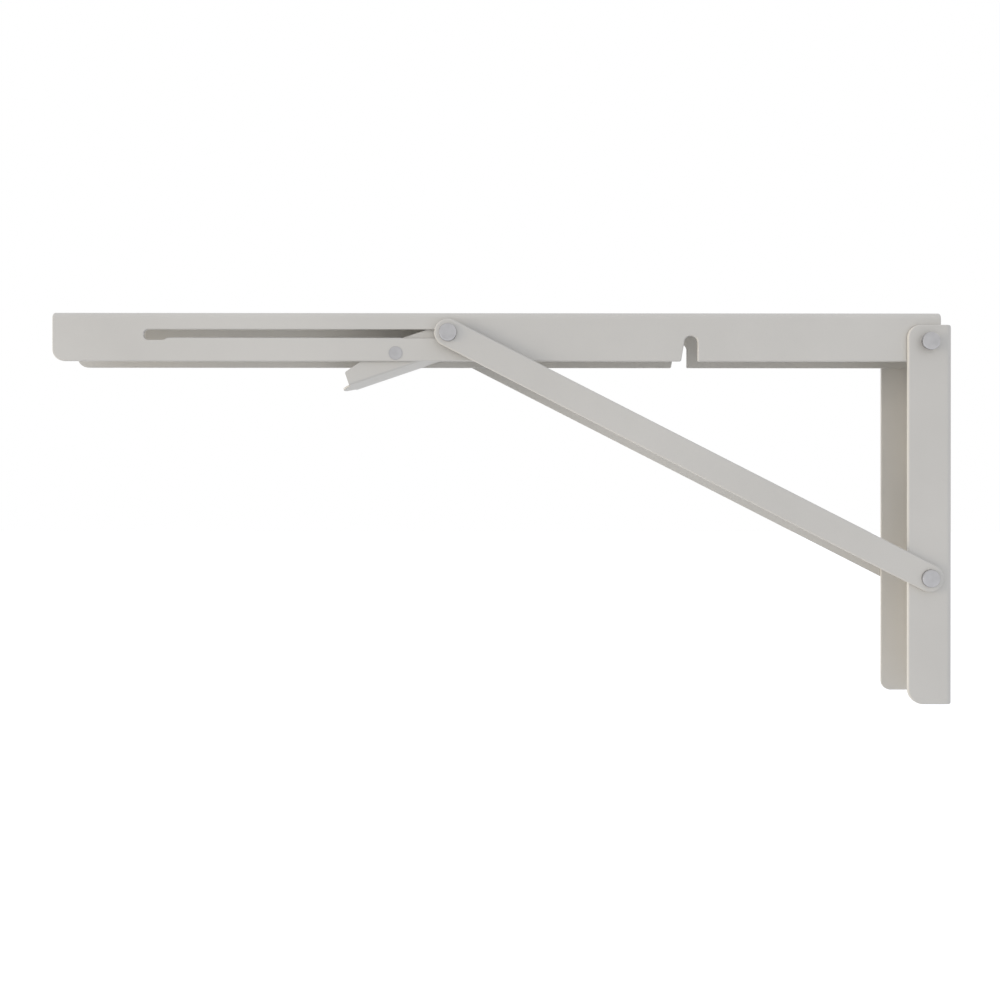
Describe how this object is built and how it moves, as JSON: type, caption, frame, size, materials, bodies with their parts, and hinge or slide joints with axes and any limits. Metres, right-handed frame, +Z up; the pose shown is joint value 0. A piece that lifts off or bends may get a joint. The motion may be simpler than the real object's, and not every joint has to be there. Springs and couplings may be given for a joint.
{
  "type": "folding shelf bracket",
  "caption": "Folding shelf bracket: channel arm hinged on a wall channel, twin flat struts whose top pins slide in the arm's slots, and a sprung release lever.",
  "frame": {"origin": "centre of the wall plate's back face, on the wall", "axes": "+X into the wall, +Z up, arm reaching out along -X; Y is across the bracket and y = 0 is its mid-plane"},
  "size_m": [0.4044, 0.0374, 0.1758],
  "materials": {
    "coated_sheet": "satin off-white powder coat",
    "plated_steel": "satin zinc plate",
    "spring_wire": "bright spring steel"
  },
  "bodies": {
    "wall": {"wall_plate": "coated_sheet", "arm_pivot_rivet": "plated_steel", "pivot_spacer_near": "plated_steel", "pivot_spacer_far": "plated_steel", "strut_foot_rivet": "plated_steel"},
    "arm": {"shelf_arm": "coated_sheet", "lever_rivet": "plated_steel", "lever_spacer_near": "plated_steel", "lever_spacer_far": "plated_steel", "lever_spring": "spring_wire"},
    "strut": {"strut_near": "coated_sheet", "strut_far": "coated_sheet", "strut_top_rivet_near": "plated_steel", "strut_top_rivet_far": "plated_steel"},
    "slider": {"slide_pin_near": "plated_steel", "slide_pin_far": "plated_steel", "slide_spacer_near": "plated_steel", "slide_spacer_far": "plated_steel"},
    "lever": {"release_lever": "coated_sheet"}
  },
  "joints": [
    {"name": "arm_fold", "type": "hinge", "parent": "wall", "child": "arm", "pos_m": [-0.01125, 0, 0.0773], "axis": [0, -1, 0], "range_deg": [0, 90]},
    {"name": "strut_swing", "type": "hinge", "parent": "wall", "child": "strut", "pos_m": [-0.01125, 0, -0.0283], "axis": [0, -1, 0], "range_deg": [0, 116.09]},
    {"name": "pin_slide", "type": "slide", "parent": "arm", "child": "slider", "axis": [-1, 0, 0], "range_m": [0, 0.1318]},
    {"name": "lever_press", "type": "hinge", "parent": "arm", "child": "lever", "pos_m": [-0.24987, 0, 0.07236], "axis": [0, 1, 0], "range_deg": [0, 18.8], "stiffness_Nm_per_rad": 0.15, "springref_deg": -28.65, "deforming": ["lever_spring"]}
  ],
  "couplings": [
    {"joint": "strut_swing", "follows": "arm_fold", "ratio": 1.2898},
    {"joint": "pin_slide", "follows": "arm_fold", "m_per_rad": 0.083904}
  ]
}
